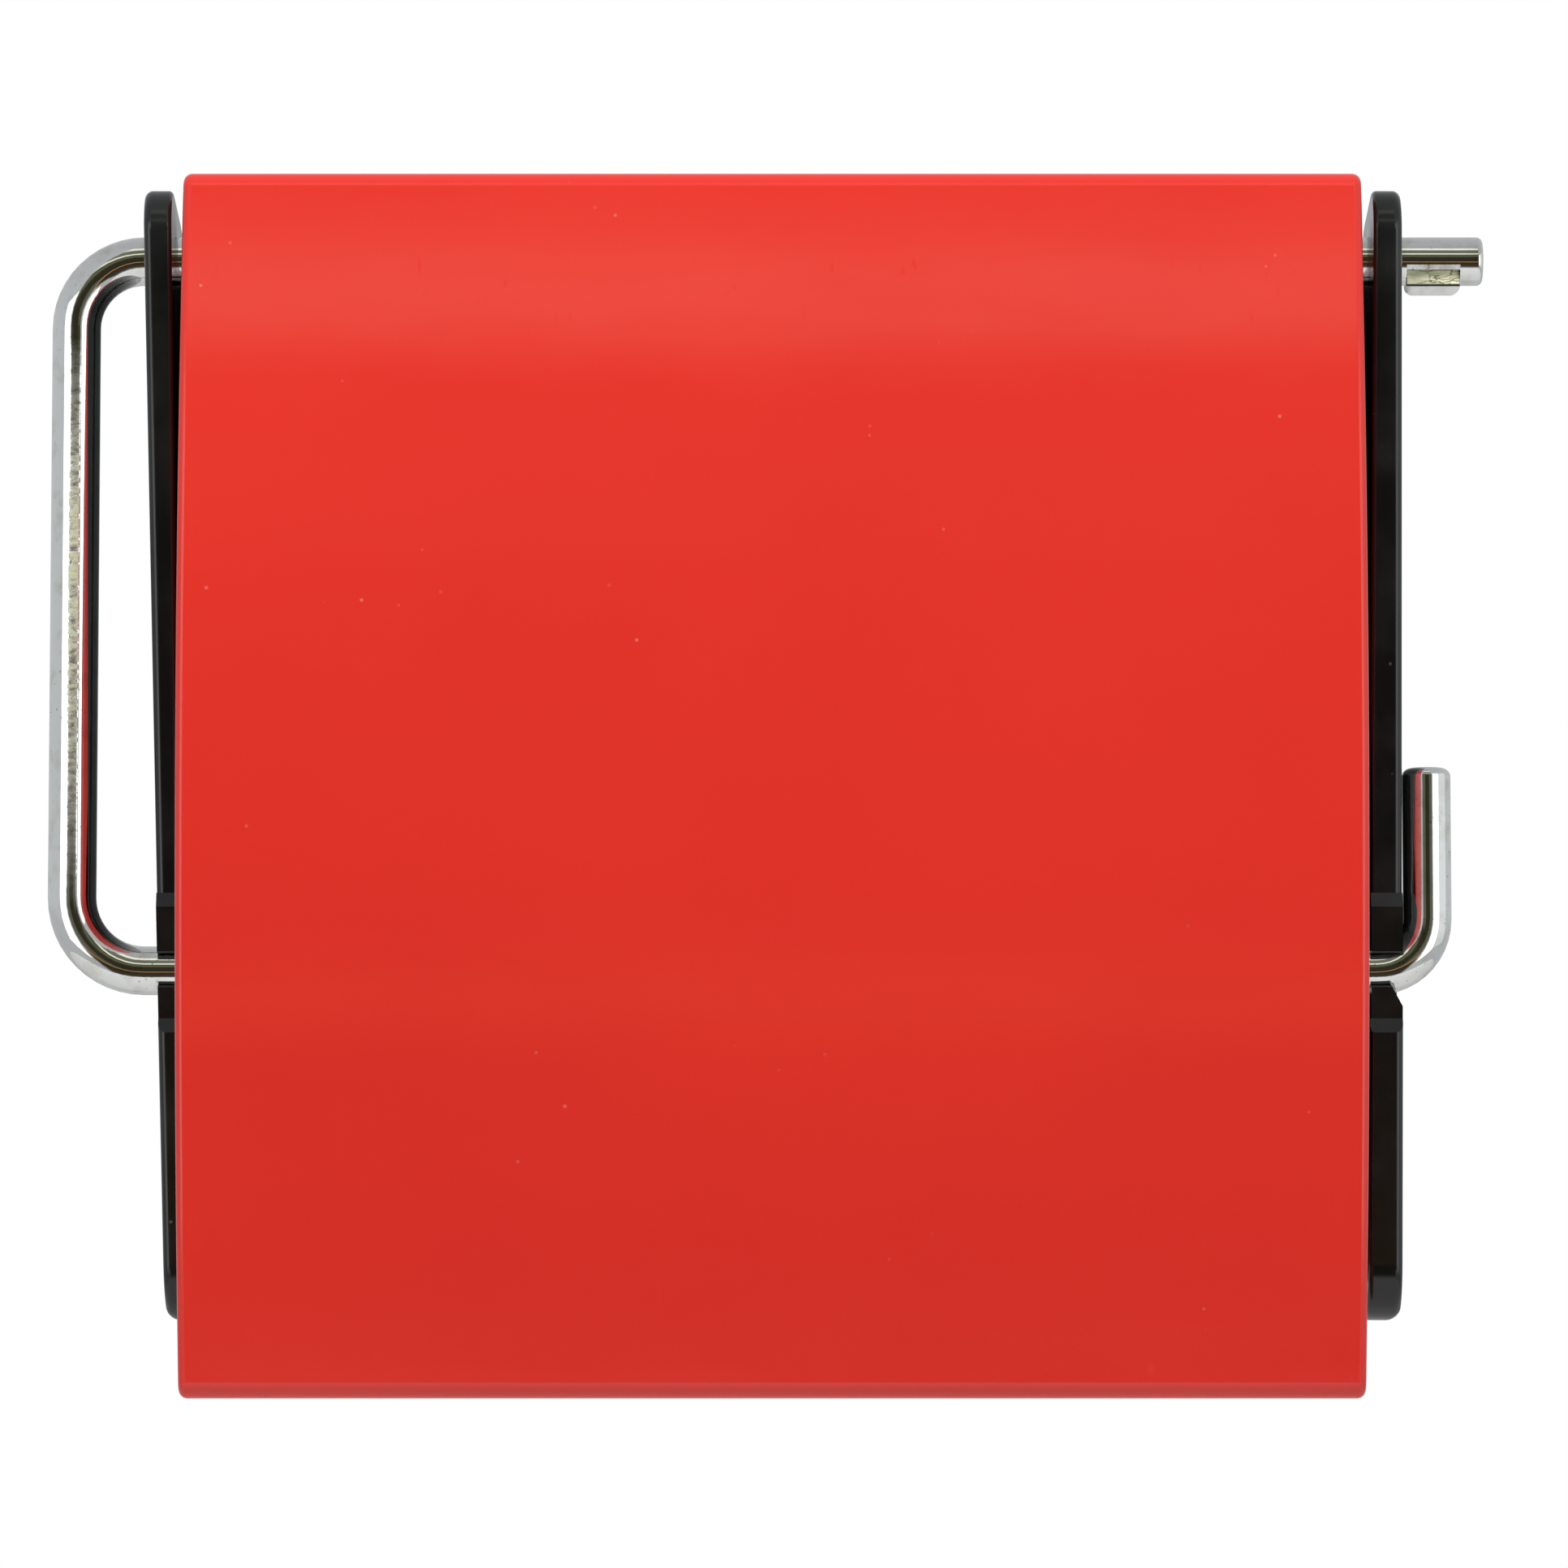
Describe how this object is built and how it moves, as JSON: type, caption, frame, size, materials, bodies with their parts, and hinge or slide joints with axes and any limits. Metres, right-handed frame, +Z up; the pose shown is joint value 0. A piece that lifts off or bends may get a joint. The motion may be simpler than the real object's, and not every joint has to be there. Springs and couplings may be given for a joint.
{
  "type": "toilet roll holder",
  "caption": "Wall-mounted toilet roll holder: bent chrome wire arm with an open hook end, bowed red hinged cover and black U-shaped wall bracket with snap clips.",
  "frame": {"origin": "on the wall plane, midway between the two wall fixings", "axes": "X to the right along the roll bar, towards the open hook end; +Y into the wall; Z up"},
  "size_m": [0.1474, 0.0615, 0.1249],
  "materials": {
    "cover_red": "smooth gloss",
    "bracket_black": "smooth gloss",
    "arm_chrome": "polished chrome plate",
    "screw_steel": "zinc plated"
  },
  "bodies": {
    "bracket": {"wall_bracket": "bracket_black", "left_snap_clip": "bracket_black", "right_snap_clip": "bracket_black", "left_wall_screw": "screw_steel", "right_wall_screw": "screw_steel"},
    "arm": {"roll_arm": "arm_chrome"},
    "lid": {"cover": "cover_red"}
  },
  "joints": [
    {"name": "arm_swing", "type": "hinge", "parent": "bracket", "child": "arm", "pos_m": [0, -0.016, 0.032], "axis": [-1, 0, 0], "range_deg": [0, 75], "deforming": ["left_snap_clip", "right_snap_clip"]},
    {"name": "cover_lift", "type": "hinge", "parent": "arm", "child": "lid", "pos_m": [0, -0.016, 0.032], "axis": [-1, 0, 0], "range_deg": [0, 95]}
  ]
}
